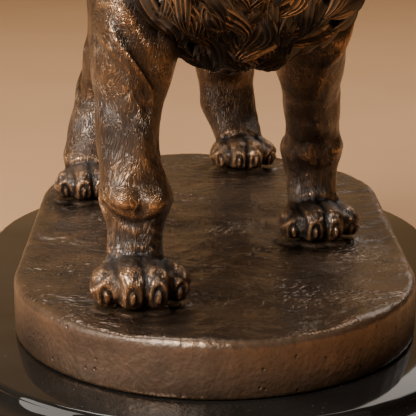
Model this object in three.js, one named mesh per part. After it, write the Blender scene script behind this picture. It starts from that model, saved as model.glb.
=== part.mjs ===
// A walking lion in patinated bronze. The figure stands on an oval bronze ground,
// and the ground stands on a moulded plinth of polished black marble.
// Millimetres, +Z up, the lion faces -Y, and the origin is the centre of the plinth's underside.
import * as THREE from "three";
import { edgeTable, triTable } from "three/addons/objects/MarchingCubes.js";

// Driving dimensions
const shoulderHeight = 170;
const figureTurn = THREE.MathUtils.degToRad(9.6);
const seatGap = 0.3;
const figurePlace = { x: -4.7, y: 0 };
const groundSideMargin = 6.4;
const groundEndMargin = 7;
const groundHeight = 20.5;
const groundEdgeRadius = 2.4;
const groundRelief = 1.1;
const plinthMargin = 22;
const plinthHeight = 32;
const plinthEdgeRadius = 1.8;
const coveWidth = 5.2;
const coveDrop = 4.4;
const ovoloRadius = 6;

// The figure is drawn in its own units, of which the shoulder height holds 170.
const figureUnit = shoulderHeight / 170;
const figureTriangles = 7500;

// The stance: each paw's middle across, and the line that its toes reach.
const stance = {
  foreRight: { x: -40.6, toe: -121.3, width: 35.8 },
  foreLeft: { x: 43.4, toe: -38.6, width: 33 },
  hindRight: { x: -38.4, toe: 52.9, width: 32 },
  hindLeft: { x: 41.4, toe: 105.8, width: 32.6 },
};
const pawLength = 1.22;

const vec = (x, y, z) => new THREE.Vector3(x, y, z);

// A small repeatable random number from 0 to 1.
function chance(seed) {
  const s = Math.sin(seed * 127.1 + 311.7) * 43758.5453;
  return s - Math.floor(s);
}

// Forms, each with a rough signed distance and the box that it reaches

// A rounded form that runs from one ellipsoid to another.
function limb(from, fromRadii, to = from, toRadii = fromRadii) {
  const a = vec(...from);
  const b = vec(...to);
  const ra = vec(...fromRadii);
  const rb = vec(...toRadii);
  const axis = b.clone().sub(a);
  const axisSquared = Math.max(axis.lengthSq(), 1e-9);
  const distance = (x, y, z) => {
    const along = ((x - a.x) * axis.x + (y - a.y) * axis.y + (z - a.z) * axis.z) / axisSquared;
    const t = Math.min(1, Math.max(0, along));
    const rx = ra.x + (rb.x - ra.x) * t;
    const ry = ra.y + (rb.y - ra.y) * t;
    const rz = ra.z + (rb.z - ra.z) * t;
    const px = (x - a.x - axis.x * t) / rx;
    const py = (y - a.y - axis.y * t) / ry;
    const pz = (z - a.z - axis.z * t) / rz;
    const k0 = Math.sqrt(px * px + py * py + pz * pz);
    const k1 = Math.sqrt((px / rx) ** 2 + (py / ry) ** 2 + (pz / rz) ** 2);
    return k1 < 1e-9 ? -Math.min(rx, ry, rz) : (k0 * (k0 - 1)) / k1;
  };
  const low = a.clone().sub(ra).min(b.clone().sub(rb));
  const high = a.clone().add(ra).max(b.clone().add(rb));
  return { distance, low, high };
}

const ball = (centre, radius) => limb(centre, [radius, radius, radius]);
const pair = (make) => [-1, 1].map(make);

// A chain of limbs through points written as [x, y, z, rx, ry, rz].
function chain(points) {
  return points.slice(1).map((p, i) => {
    const q = points[i];
    return limb(q.slice(0, 3), q.slice(3), p.slice(0, 3), p.slice(3));
  });
}

// A grid of distances that forms are blended into, and its surface as a mesh

const far = 12;
const steps = (from, to, step) => {
  const count = Math.ceil((to - from) / step);
  return Float64Array.from({ length: count + 1 }, (_, i) => from + i * step);
};

class FormGrid {
  constructor(xs, ys, zs) {
    Object.assign(this, { xs, ys, zs });
    this.values = new Float32Array(xs.length * ys.length * zs.length).fill(far);
  }

  // Calls edit(value, distance) at each grid point that the form can reach.
  visit(form, reach, edit) {
    const { xs, ys, zs, values } = this;
    const span = (line, low, high) => [
      Math.max(0, line.findIndex((v) => v >= low)),
      line.findLastIndex((v) => v <= high),
    ];
    const [x0, x1] = span(xs, form.low.x - reach, form.high.x + reach);
    const [y0, y1] = span(ys, form.low.y - reach, form.high.y + reach);
    const [z0, z1] = span(zs, form.low.z - reach, form.high.z + reach);
    for (let k = z0; k <= z1; k++)
      for (let j = y0; j <= y1; j++) {
        const row = (k * ys.length + j) * xs.length;
        for (let i = x0; i <= x1; i++)
          values[row + i] = edit(values[row + i], form.distance(xs[i], ys[j], zs[k]));
      }
  }

  // Joins a form on, with a fillet about as wide as soft.
  blend(form, soft) {
    this.visit(form, soft + 4, (value, d) => {
      const h = Math.max(soft - Math.abs(value - d), 0) / soft;
      return Math.min(value, d) - (h * h * soft) / 4;
    });
  }

  // Cuts a form away, with a rounded lip about as wide as soft.
  carve(form, soft) {
    this.visit(form, soft, (value, d) => {
      const h = Math.max(soft - Math.abs(value + d), 0) / soft;
      return Math.max(value, -d) + (h * h * soft) / 4;
    });
  }

  // Cuts everything under the level flat.
  cutBelow(level) {
    const { xs, ys, zs, values } = this;
    const layer = xs.length * ys.length;
    for (let k = 0; k < zs.length; k++)
      for (let i = k * layer; i < (k + 1) * layer; i++)
        values[i] = Math.max(values[i], level - zs[k]);
  }

  // The surface where the distance is nought, by marching cubes with shared vertices.
  surface() {
    const { xs, ys, zs, values } = this;
    const [nx, ny, nz] = [xs.length, ys.length, zs.length];
    const stepY = nx;
    const stepZ = nx * ny;
    for (let i = 0; i < values.length; i++) if (Math.abs(values[i]) < 1e-4) values[i] = 1e-4;
    const corners = [0, 1, 1 + stepY, stepY].flatMap((q) => [q, q + stepZ]);
    const order = [0, 2, 4, 6, 1, 3, 5, 7].map((i) => corners[i]);
    // The cube's 12 edges in the table's order: the corner that each starts at, and its axis.
    const edges = [
      [0, 0], [1, 1], [stepY, 0], [0, 1],
      [stepZ, 0], [1 + stepZ, 1], [stepY + stepZ, 0], [stepZ, 1],
      [0, 2], [1, 2], [1 + stepY, 2], [stepY, 2],
    ];
    const stride = [1, stepY, stepZ];
    const known = new Int32Array(values.length * 3).fill(-1);
    const points = [];
    const triangles = [];
    const place = (q, axis) => {
      const key = q * 3 + axis;
      if (known[key] < 0) {
        const i = q % nx;
        const j = Math.floor(q / nx) % ny;
        const k = Math.floor(q / stepZ);
        const a = values[q];
        const t = a / (a - values[q + stride[axis]]);
        const point = [xs[i], ys[j], zs[k]];
        const line = [xs, ys, zs][axis];
        const index = [i, j, k][axis];
        point[axis] += t * (line[index + 1] - line[index]);
        known[key] = points.length / 3;
        points.push(...point);
      }
      return known[key];
    };
    for (let k = 0; k < nz - 1; k++)
      for (let j = 0; j < ny - 1; j++)
        for (let i = 0; i < nx - 1; i++) {
          const q = i + j * stepY + k * stepZ;
          let cube = 0;
          for (let c = 0; c < 8; c++) if (values[q + order[c]] > 0) cube |= 1 << c;
          if (!edgeTable[cube]) continue;
          for (let t = cube * 16; triTable[t] >= 0; t++) {
            const [offset, axis] = edges[triTable[t]];
            triangles.push(place(q + offset, axis));
          }
        }
    return { points, triangles };
  }
}

// Fewer triangles, with the shape kept: the cheapest edge is closed up until the count is right

class Heap {
  constructor() {
    this.items = [];
  }

  push(item) {
    const { items } = this;
    let i = items.push(item) - 1;
    while (i > 0) {
      const up = (i - 1) >> 1;
      if (items[up].cost <= item.cost) break;
      items[i] = items[up];
      i = up;
    }
    items[i] = item;
  }

  pop() {
    const { items } = this;
    const top = items[0];
    const last = items.pop();
    if (items.length) {
      let i = 0;
      for (;;) {
        let down = 2 * i + 1;
        if (down >= items.length) break;
        if (down + 1 < items.length && items[down + 1].cost < items[down].cost) down++;
        if (items[down].cost >= last.cost) break;
        items[i] = items[down];
        i = down;
      }
      items[i] = last;
    }
    return top;
  }
}

function simplify({ points, triangles }, target) {
  const position = Float64Array.from(points);
  const face = Int32Array.from(triangles);
  const faces = Array.from({ length: position.length / 3 }, () => []);
  const stamp = new Int32Array(faces.length);
  const gone = new Uint8Array(face.length / 3);
  // A vertex's quadric is the sum of its faces' squared distances, as 10 numbers.
  const quadric = new Float64Array(faces.length * 10);
  const at = (v) => [position[3 * v], position[3 * v + 1], position[3 * v + 2]];
  const normalOf = (p, q, r) => {
    const [ux, uy, uz] = [q[0] - p[0], q[1] - p[1], q[2] - p[2]];
    const [vx, vy, vz] = [r[0] - p[0], r[1] - p[1], r[2] - p[2]];
    return [uy * vz - uz * vy, uz * vx - ux * vz, ux * vy - uy * vx];
  };
  for (let f = 0; f < gone.length; f++) {
    const corner = [face[3 * f], face[3 * f + 1], face[3 * f + 2]];
    const n = normalOf(...corner.map(at));
    const size = Math.hypot(...n) || 1e-12;
    const [a, b, c] = n.map((x) => x / size);
    const [px, py, pz] = at(corner[0]);
    const d = -(a * px + b * py + c * pz);
    const terms = [a * a, a * b, a * c, a * d, b * b, b * c, b * d, c * c, c * d, d * d];
    for (const v of corner) {
      faces[v].push(f);
      terms.forEach((x, i) => (quadric[10 * v + i] += (x * size) / 2));
    }
  }
  const q = new Float64Array(10);
  const costOf = (x, y, z) =>
    x * (q[0] * x + 2 * (q[1] * y + q[2] * z + q[3])) + y * (q[4] * y + 2 * (q[5] * z + q[6])) +
    z * (q[7] * z + 2 * q[8]) + q[9];
  // The point that two vertices close up to, and what it costs.
  const bestFor = (u, v) => {
    for (let i = 0; i < 10; i++) q[i] = quadric[10 * u + i] + quadric[10 * v + i];
    const [px, py, pz] = at(u);
    const [rx, ry, rz] = at(v);
    const length = Math.hypot(px - rx, py - ry, pz - rz);
    const [mx, my, mz] = [(px + rx) / 2, (py + ry) / 2, (pz + rz) / 2];
    let [x, y, z, cost] = [mx, my, mz, costOf(mx, my, mz)];
    const offerPoint = (ox, oy, oz) => {
      const found = costOf(ox, oy, oz);
      if (found < cost) [x, y, z, cost] = [ox, oy, oz, found];
    };
    offerPoint(px, py, pz);
    offerPoint(rx, ry, rz);
    // The quadric's own lowest point, where it has one close by.
    const [a, b, c] = [q[4] * q[7] - q[5] * q[5], q[2] * q[5] - q[1] * q[7], q[1] * q[5] - q[2] * q[4]];
    const det = q[0] * a + q[1] * b + q[2] * c;
    if (Math.abs(det) > 1e-5 * (q[0] + q[4] + q[7]) ** 3) {
      const [e, f, g] = [q[0] * q[7] - q[2] * q[2], q[1] * q[2] - q[0] * q[5], q[0] * q[4] - q[1] * q[1]];
      const sx = -(a * q[3] + b * q[6] + c * q[8]) / det;
      const sy = -(b * q[3] + e * q[6] + f * q[8]) / det;
      const sz = -(c * q[3] + f * q[6] + g * q[8]) / det;
      if (Math.hypot(sx - mx, sy - my, sz - mz) < length) offerPoint(sx, sy, sz);
    }
    return { point: [x, y, z], cost: cost + length * length * 1e-4 };
  };
  const heap = new Heap();
  const offer = (u, v) => heap.push({ u, v, stampU: stamp[u], stampV: stamp[v], ...bestFor(u, v) });
  const around = (v) => {
    const near = new Set();
    for (const f of faces[v]) for (let i = 0; i < 3; i++) near.add(face[3 * f + i]);
    near.delete(v);
    return near;
  };
  const turnsOver = (v, other, point) =>
    faces[v].some((f) => {
      const corner = [face[3 * f], face[3 * f + 1], face[3 * f + 2]];
      if (corner.includes(other)) return false;
      const before = normalOf(...corner.map(at));
      const after = normalOf(...corner.map((c) => (c === v ? point : at(c))));
      const dot = before[0] * after[0] + before[1] * after[1] + before[2] * after[2];
      return dot < 0.3 * Math.hypot(...before) * Math.hypot(...after);
    });
  for (let f = 0; f < gone.length; f++)
    for (let i = 0; i < 3; i++) {
      const [u, v] = [face[3 * f + i], face[3 * f + ((i + 1) % 3)]];
      if (u < v) offer(u, v);
    }
  let left = gone.length;
  while (left > target && heap.items.length) {
    const { u, v, stampU, stampV, point } = heap.pop();
    if (stamp[u] !== stampU || stamp[v] !== stampV) continue;
    const nearV = around(v);
    const shared = [...around(u)].filter((w) => nearV.has(w));
    if (shared.length !== 2 || turnsOver(u, v, point) || turnsOver(v, u, point)) continue;
    position.set(point, 3 * u);
    for (let i = 0; i < 10; i++) quadric[10 * u + i] += quadric[10 * v + i];
    for (const f of faces[v]) {
      const corner = [face[3 * f], face[3 * f + 1], face[3 * f + 2]];
      if (corner.includes(u)) {
        gone[f] = 1;
        left--;
        for (const c of corner) if (c !== v) faces[c] = faces[c].filter((g) => g !== f);
      } else {
        face[3 * f + corner.indexOf(v)] = u;
        faces[u].push(f);
      }
    }
    faces[v] = [];
    stamp[v] = -1;
    stamp[u]++;
    for (const w of around(u)) offer(Math.min(u, w), Math.max(u, w));
  }
  const index = [];
  for (let f = 0; f < gone.length; f++)
    if (!gone[f]) index.push(face[3 * f], face[3 * f + 1], face[3 * f + 2]);
  return { points: position, triangles: index };
}

// The lion's body, in figure units, with its feet on z = 0

const torso = [
  ...chain([
    [0, -58, 122, 36, 38, 42],
    [0, -20, 122, 34, 34, 38],
    [0, 20, 124, 30, 34, 33],
    [0, 58, 128, 28, 32, 31],
    [0, 78, 130, 29, 30, 30],
  ]),
  limb([0, -62, 150], [15, 20, 15], [0, 70, 148], [12, 22, 11]),
];

const neckAndHead = [
  limb([0, -60, 138], [33, 34, 34], [0, -98, 158], [27, 27, 30]),
  limb([0, -116, 168], [20, 23, 19]),
  limb([0, -130, 161], [16, 13, 14.5], [0, -146, 157], [12.5, 10, 11.5]),
  ...pair((side) => limb([side * 13, -124, 157], [10, 12, 12])),
  ...pair((side) => limb([side * 6, -149, 153.5], [7.2, 7.5, 7])),
];

function faceDetail(grid) {
  for (const side of [-1, 1]) {
    grid.carve(limb([side * 9.4, -140.5, 167.5], [4.6, 5, 3.4]), 2.5);
    grid.blend(ball([side * 9.2, -136, 167.5], 3.7), 0.6);
    grid.blend(limb([side * 4.5, -138.5, 173.5], [3, 3, 2.2], [side * 13.5, -133, 174], [4, 4, 2.4]), 3);
    grid.blend(limb([side * 19, -107, 187], [8.2, 4.6, 8.5]), 2.5);
    grid.carve(limb([side * 19, -111.5, 187.5], [5, 3.6, 5.6]), 1.5);
    grid.carve(limb([side * 3, -160, 157.8], [1.6, 2.4, 1.1]), 0.8);
    grid.carve(limb([side * 1, -156.5, 149.5], [1.1, 3, 1], [side * 10.5, -141, 148.5], [1, 4, 1]), 1);
  }
  grid.blend(limb([0, -155.5, 160.5], [6.6, 4, 4.4]), 1.5);
  grid.blend(limb([0, -144, 144.5], [8.6, 8.5, 6]), 2.5);
  grid.blend(limb([0, -150, 163.5], [4.6, 5, 3], [0, -134, 171], [5.4, 5, 4]), 3);
}

// A leg is a chain from the shoulder or hip to the paw, each point [x, y, z, rx, ry, rz].
const legs = {
  foreRight: [
    [-27, -66, 126, 19, 27, 34],
    [-36, -76, 98, 16, 21, 18],
    [-39, -80, 79, 14, 16.5, 14],
    [-41.8, -86, 56, 10.6, 12, 12],
    [-41.4, -90, 45, 10, 11, 6],
    [-39.8, -92, 34, 13, 12.4, 6.6],
    [-40.4, -92, 22, 8.8, 9.6, 6],
    [-40.8, -95, 14, 10.4, 11, 6],
  ],
  foreLeft: [
    [24, -62, 126, 18, 28, 34],
    [32, -54, 98, 15, 21, 18],
    [34.6, -43, 76, 13, 16, 14],
    [40, -26, 54, 10.4, 12, 12],
    [42.6, -17, 44, 9.8, 11, 6],
    [44, -13, 34, 11.6, 12, 6.4],
    [44, -12, 22, 8.8, 9.6, 6],
    [43.6, -14, 14, 10.2, 11, 6],
  ],
  hindRight: [
    [-24, 72, 126, 16, 30, 30],
    [-24, 60, 100, 14.6, 25, 22],
    [-24.6, 62, 80, 12.8, 20, 17],
    [-26.6, 82, 60, 10.8, 13, 12],
    [-29, 96, 44, 10.6, 11, 9],
    [-33.4, 89, 28, 10.6, 9.8, 9],
    [-38, 80, 15, 11.4, 11.4, 7],
  ],
  hindLeft: [
    [24, 76, 126, 16, 30, 30],
    [31, 76, 100, 15.4, 25, 22],
    [34, 86, 80, 13.8, 19, 17],
    [36, 118, 60, 12.8, 13, 12],
    [37, 141, 46, 13.8, 11, 9],
    [38, 139, 28, 12.8, 10.2, 9],
    [41, 131, 15, 12, 11.4, 7],
  ],
};

// Muscle, bone and tendon that stand proud of a leg.
const legRelief = [
  [limb([-32, -58, 90], [9, 12, 12]), 8],
  [limb([30, -36, 88], [9, 12, 12]), 8],
  [limb([-30.6, -86, 35], [4.8, 6, 6.4], [-31.6, -86, 25], [4, 4.6, 4.6]), 2],
  [limb([36, -5, 33], [4.6, 5.6, 6], [37, -6, 24], [3.6, 4.2, 4]), 2],
  [limb([-45, -101, 35.5], [4.8, 4, 4.8]), 2.5],
  [limb([-36.4, -102.4, 34.5], [4.8, 3.8, 4.8]), 2.5],
  [limb([48.4, -22, 35.5], [4.6, 4, 4.6]), 2.5],
  [limb([41, -23, 34.5], [4.6, 3.6, 4.6]), 2.5],
  [limb([-44, -95, 84], [3.2, 4.6, 12], [-39, -99, 54], [2.6, 3, 10]), 4],
  [limb([40, -50, 84], [3.2, 5, 12], [39, -37, 56], [2.6, 3, 10]), 4],
  [limb([-43, -92, 94], [7, 8, 20]), 6],
  [limb([38, -66, 96], [7, 8, 20]), 6],
  [limb([-29, 103, 50], [5.6, 6, 8]), 4],
  [limb([36, 149, 52], [5.6, 6, 8]), 4],
  [limb([-27, 44, 88], [8, 10, 12]), 8],
  [limb([36, 62, 88], [8, 10, 12]), 8],
];

// Four toes, the pad behind them and a claw on each toe.
const toes = [
  { x: -0.355, back: 0.11, rx: 0.16, high: 0.19 },
  { x: -0.126, back: -0.06, rx: 0.168, high: 0.215 },
  { x: 0.126, back: -0.05, rx: 0.168, high: 0.215 },
  { x: 0.355, back: 0.13, rx: 0.16, high: 0.19 },
];

function paw(grid, { x, toe, width: w }) {
  const lay = (dx, dy, dz) => [x + dx * w, toe + dy * w, dz * w];
  const heel = [0.35 * w, 0.34 * w, 0.21 * w];
  grid.blend(limb(lay(0, 0.62, 0.2), heel, lay(0, 0.84, 0.19), [0.31 * w, 0.34 * w, 0.19 * w]), 4);
  for (const t of toes) {
    const knuckle = [t.rx * w * 0.94, 0.19 * w, t.high * w * 0.92];
    const tip = [t.rx * w, 0.2 * w, t.high * w * 1.06];
    const root = lay(t.x * 0.88, t.back + 0.42, t.high + 0.02);
    grid.blend(limb(root, knuckle, lay(t.x, t.back + 0.2, t.high), tip), 0.7);
  }
  for (const t of toes) {
    const claw = limb(
      lay(t.x * 1.02, t.back + 0.05, 0.23), [1.5, 2, 2],
      lay(t.x * 1.02, t.back + 0.02, 0.07), [0.9, 1.4, 1.2],
    );
    grid.blend(claw, 0.6);
  }
}

// The mane: a full volume round the neck and chest, and locks that lie on it

const maneVolume = [
  limb([0, -106, 166], [33, 16, 33]),
  limb([0, -98, 178], [25, 18, 18]),
  limb([0, -90, 152], [37, 24, 42], [0, -54, 142], [40, 32, 40]),
  limb([0, -82, 130], [40, 26, 36]),
  limb([2, -66, 111], [38, 30, 33]),
  ...pair((side) => limb([side * 23, -82, 114], [21, 20, 24])),
];
const maneHeart = vec(0, -80, 136);

function maneDistance(p) {
  const soft = 9;
  return maneVolume.reduce((value, form) => {
    const d = form.distance(p.x, p.y, p.z);
    const h = Math.max(soft - Math.abs(value - d), 0) / soft;
    return Math.min(value, d) - (h * h * soft) / 4;
  }, far * 4);
}

function maneNormal(p) {
  const e = 0.5;
  const slope = (axis) => {
    const step = vec(0, 0, 0).setComponent(axis, e);
    return maneDistance(p.clone().add(step)) - maneDistance(p.clone().sub(step));
  };
  return vec(slope(0), slope(1), slope(2)).normalize();
}

// The way that the hair lies: out from the face, then back and down, and inwards on the chest.
function hairWay(p) {
  const outward = vec(p.x, 0, (p.z - 160) * 0.5).normalize();
  const byFace = THREE.MathUtils.smoothstep(-p.y, 96, 118);
  const high = THREE.MathUtils.smoothstep(p.z, 105, 160);
  const atBack = THREE.MathUtils.smoothstep(p.y, -95, -50);
  const hanging = vec(-0.5 * (p.x / 40) * (1 - high), 0.25 + 0.75 * high * (0.4 + 0.6 * atBack), -1);
  return outward.add(vec(0, 0.8, 0)).multiplyScalar(byFace).add(hanging.multiplyScalar(1.15 - byFace));
}

const lockCount = 150;
const lockPoints = 6;

// Each lock is a list of points down its middle, with a radius at each.
function maneLocks() {
  const locks = [];
  const golden = Math.PI * (3 - Math.sqrt(5));
  for (let n = 0; n < lockCount; n++) {
    const height = 1 - (2 * (n + 0.5)) / lockCount;
    const round = Math.sqrt(1 - height * height);
    const out = vec(Math.cos(n * golden) * round, Math.sin(n * golden) * round, height);
    const p = maneHeart.clone().addScaledVector(out, 70);
    while (maneDistance(p) > 0.2) p.addScaledVector(out, -Math.max(0.3, maneDistance(p) * 0.5));
    const onFace = p.y < -114 && Math.hypot(p.x, p.z - 160) < 23;
    if (onFace || p.y > -34) continue;
    const length = 22 + 12 * chance(n);
    const sway = (chance(n + 500) - 0.5) * 1.1;
    const girth = 3.6 + 1.2 * chance(n + 900);
    const lock = [];
    for (let i = 0; i < lockPoints; i++) {
      const t = i / (lockPoints - 1);
      const normal = maneNormal(p);
      p.addScaledVector(normal, 0.6 + 1.6 * t - maneDistance(p));
      lock.push({ p: p.clone(), r: girth * (0.55 + 1.8 * t * (1 - t)) * (1 - 0.72 * t * t * t) });
      const way = hairWay(p).projectOnPlane(normal).normalize();
      const side = way.clone().cross(normal);
      way.addScaledVector(side, sway * Math.cos(t * 5 + n)).normalize();
      p.addScaledVector(way, length / (lockPoints - 1));
    }
    locks.push(lock);
  }
  return locks;
}

const tail = [
  [0, 100, 140, 7, 8, 7],
  [0, 116, 130, 6, 6, 6.5],
  [1, 129, 108, 5.2, 5.2, 6],
  [1, 136, 86, 4.8, 4.8, 6],
  [-1, 138, 64, 4.6, 4.6, 6],
  [-4, 137, 52, 6.6, 6.4, 7],
  [-6, 135, 40, 7.4, 7, 7],
  [-7, 132, 27, 2.4, 2.4, 3],
];

function lionGeometry() {
  const fine = 1.75;
  const grid = new FormGrid(steps(-63, 63, fine), steps(-166, 162, fine), steps(-3.5, 204, fine));
  for (const form of torso) grid.blend(form, 12);
  for (const leg of Object.values(legs)) for (const form of chain(leg)) grid.blend(form, 5);
  for (const [form, soft] of legRelief) grid.blend(form, soft);
  for (const form of neckAndHead) grid.blend(form, 6);
  for (const form of maneVolume) grid.blend(form, 7);
  for (const lock of maneLocks())
    for (let i = 1; i < lock.length; i++) {
      const [a, b] = [lock[i - 1], lock[i]];
      grid.blend(limb(a.p.toArray(), [a.r, a.r, a.r], b.p.toArray(), [b.r, b.r, b.r]), 1);
    }
  faceDetail(grid);
  for (const form of chain(tail)) grid.blend(form, 4);
  for (const foot of Object.values(stance)) paw(grid, foot);
  grid.cutBelow(0);
  const { points, triangles } = simplify(grid.surface(), figureTriangles);
  const position = Float32Array.from(points, (v) => v * figureUnit);
  for (let i = 2; i < position.length; i += 3) if (position[i] < 0.02) position[i] = 0;
  return new THREE.BufferGeometry()
    .setAttribute("position", new THREE.BufferAttribute(position, 3))
    .setIndex(triangles);
}

// The oval ground and plinth

// The paws' footprint, turned with the figure, gives the ground its size.
const footprint = new THREE.Box3();
for (const { x, toe, width } of Object.values(stance))
  for (const [across, along] of [[0.5, 0.3], [0.34, pawLength]])
    for (const side of [-1, 1]) {
      const edge = vec(x + side * across * width, toe + along * width, 0).applyAxisAngle(vec(0, 0, 1), figureTurn);
      footprint.expandByPoint(edge.add(vec(figurePlace.x, figurePlace.y, 0)).multiplyScalar(figureUnit));
    }
const groundHalfWidth = Math.max(footprint.max.x, -footprint.min.x) + groundSideMargin;
const groundHalfLength = Math.max(footprint.max.y, -footprint.min.y) + groundEndMargin;
const groundEndShare = 1.25;
const ovalSegments = 52;

// A point of the oval: straight sides between two half ellipses, grown outwards by grow.
function ovalPoint(turn, grow) {
  const halfWidth = groundHalfWidth + grow;
  const endDepth = groundHalfWidth * groundEndShare + grow;
  const straight = groundHalfLength - groundHalfWidth * groundEndShare;
  const angle = turn * 2 * Math.PI;
  const y = Math.sin(angle);
  return [halfWidth * Math.cos(angle), Math.sign(y) * straight + endDepth * y];
}

// A closed solid through rings of the oval. Each ring has a growth, a height and a share of the oval's size.
function ovalSolid(rings, relief = () => 0) {
  const positions = [];
  const index = [];
  for (const { grow, z, share = 1 } of rings)
    for (let i = 0; i < ovalSegments; i++) {
      const [x, y] = ovalPoint((i + 0.5) / ovalSegments, grow).map((v) => v * share);
      positions.push(x, y, z + relief(x, y, share));
    }
  const ringStart = (r) => r * ovalSegments;
  for (let r = 1; r < rings.length; r++)
    for (let i = 0; i < ovalSegments; i++) {
      const j = (i + 1) % ovalSegments;
      const [a, b] = [ringStart(r - 1) + i, ringStart(r - 1) + j];
      const [c, d] = [ringStart(r) + i, ringStart(r) + j];
      index.push(a, b, d, a, d, c);
    }
  const caps = [0, rings.length - 1];
  for (const r of caps) {
    const centre = positions.length / 3;
    positions.push(0, 0, rings[r].z + relief(0, 0, 0));
    for (let i = 0; i < ovalSegments; i++) {
      const [a, b] = [ringStart(r) + i, ringStart(r) + ((i + 1) % ovalSegments)];
      if (r === 0) index.push(centre, b, a);
      else index.push(centre, a, b);
    }
  }
  return new THREE.BufferGeometry()
    .setAttribute("position", new THREE.Float32BufferAttribute(positions, 3))
    .setIndex(index);
}

// A quarter round from the side of a slab to its top.
function quarterRound(grow, top, radius, parts) {
  return Array.from({ length: parts + 1 }, (_, i) => {
    const a = (i / parts) * (Math.PI / 2);
    return { grow: grow - radius * (1 - Math.cos(a)), z: top - radius * (1 - Math.sin(a)) };
  });
}

function groundGeometry() {
  const edge = quarterRound(0, groundHeight, groundEdgeRadius, 3);
  const top = [0.86, 0.66, 0.46, 0.26].map((share) => ({
    grow: -groundEdgeRadius,
    z: groundHeight,
    share,
  }));
  // Trodden earth: shallow dips between the paws, none of them higher than the paws stand.
  const dips = (x, y, share) => {
    if (share >= 1 || share === 0) return 0;
    const wave = Math.sin(x / 17 + Math.sin(y / 23) * 1.4) * Math.sin(y / 19 + x / 41);
    return -groundRelief * (0.5 + 0.5 * wave);
  };
  return ovalSolid([{ grow: -0.8, z: 0 }, { grow: 0, z: 1 }, ...edge, ...top], dips);
}

// From the bottom up: a plain side, an ovolo, a cove and the rounded top edge.
function plinthGeometry() {
  const top = plinthHeight - plinthEdgeRadius - coveDrop;
  const reach = plinthMargin + coveWidth;
  const cove = Array.from({ length: 5 }, (_, i) => {
    const a = (i / 4) * (Math.PI / 2);
    return { grow: reach - coveWidth * Math.sin(a), z: top + coveDrop * (1 - Math.cos(a)) };
  });
  const side = reach + ovoloRadius;
  return ovalSolid([
    { grow: side - 1, z: 0 },
    { grow: side, z: 1 },
    ...quarterRound(side, top, ovoloRadius, 4),
    ...cove.slice(1),
    ...quarterRound(plinthMargin, plinthHeight, plinthEdgeRadius, 3).slice(1),
    { grow: -groundHalfWidth * 0.4, z: plinthHeight },
  ]);
}

// The group

const bronze = new THREE.MeshStandardMaterial({ color: 0x5a3f28, roughness: 0.38, metalness: 0.9 });
const earthBronze = new THREE.MeshStandardMaterial({ color: 0x64493a, roughness: 0.45, metalness: 0.85 });
const marble = new THREE.MeshStandardMaterial({ color: 0x16140f, roughness: 0.08, metalness: 0 });

function named(name, geometry, material) {
  geometry.computeVertexNormals();
  const mesh = new THREE.Mesh(geometry, material);
  mesh.name = name;
  return mesh;
}

const plinth = named("marble_plinth", plinthGeometry(), marble);
const ground = named("bronze_ground", groundGeometry(), earthBronze);
ground.position.z = plinthHeight;

const lion = named("bronze_lion", lionGeometry(), bronze);
const figure = new THREE.Group();
figure.add(lion);
figure.rotation.z = figureTurn;
figure.position.set(
  figurePlace.x * figureUnit,
  figurePlace.y * figureUnit,
  ground.position.z + groundHeight + seatGap,
);

const sculpture = new THREE.Group();
sculpture.add(plinth, ground, figure);

export default sculpture;
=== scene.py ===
import math
import bmesh
import bpy
import numpy as np
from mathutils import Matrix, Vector


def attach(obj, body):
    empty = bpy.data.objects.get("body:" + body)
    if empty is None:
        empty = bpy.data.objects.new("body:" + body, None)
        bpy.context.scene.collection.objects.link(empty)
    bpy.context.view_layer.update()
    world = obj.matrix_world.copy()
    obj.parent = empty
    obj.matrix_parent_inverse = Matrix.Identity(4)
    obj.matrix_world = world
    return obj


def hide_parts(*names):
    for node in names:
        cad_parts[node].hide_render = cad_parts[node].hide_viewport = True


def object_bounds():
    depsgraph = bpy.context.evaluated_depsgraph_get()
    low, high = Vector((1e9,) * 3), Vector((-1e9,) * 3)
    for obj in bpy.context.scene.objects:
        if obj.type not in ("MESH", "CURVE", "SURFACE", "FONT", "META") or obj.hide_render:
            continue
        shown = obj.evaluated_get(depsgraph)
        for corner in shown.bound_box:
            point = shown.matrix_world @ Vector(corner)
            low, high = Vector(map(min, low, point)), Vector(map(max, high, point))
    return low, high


# A walking lion in waxed bronze on its oval ground, on a black marble plinth.
# Metres, +Z up, the lion faces -Y. Its own shapes are written in millimetres, from its own feet.

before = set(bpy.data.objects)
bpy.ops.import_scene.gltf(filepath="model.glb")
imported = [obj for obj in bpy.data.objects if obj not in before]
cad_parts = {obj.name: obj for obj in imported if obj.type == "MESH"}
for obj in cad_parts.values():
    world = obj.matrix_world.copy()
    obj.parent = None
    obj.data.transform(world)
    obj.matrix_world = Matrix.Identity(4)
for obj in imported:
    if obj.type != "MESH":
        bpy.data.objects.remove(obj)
cadLow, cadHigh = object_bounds()
millimetre = 0.001
weldDistance = 2e-6

figure = {
    "turn": math.radians(9.6),
    "foot": np.array([-4.7, 0.0, 52.8]),
    "groundTop": 52.5,
    "plinthTop": 32.0,
}


def turned(points, angle):  # about the upright axis
    x, y, z = points.T
    c, s = math.cos(angle), math.sin(angle)
    return np.stack([x * c - y * s, x * s + y * c, z], axis=1)


def toFigure(points):  # world metres to the lion's own millimetres
    return turned(points / millimetre - figure["foot"], -figure["turn"])


def toWorld(points):  # the lion's own millimetres to world metres
    return (turned(points, figure["turn"]) + figure["foot"]) * millimetre


# Helpers for meshes

def selectOnly(piece):
    bpy.ops.object.select_all(action="DESELECT")
    piece.select_set(True)
    bpy.context.view_layer.objects.active = piece


def applyModifier(piece, kind, **values):
    selectOnly(piece)
    modifier = piece.modifiers.new(kind.lower(), kind)
    for key, value in values.items():
        setattr(modifier, key, value)
    bpy.ops.object.modifier_apply(modifier=modifier.name)


def shadeSmooth(piece):
    selectOnly(piece)
    bpy.ops.object.shade_smooth()


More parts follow.
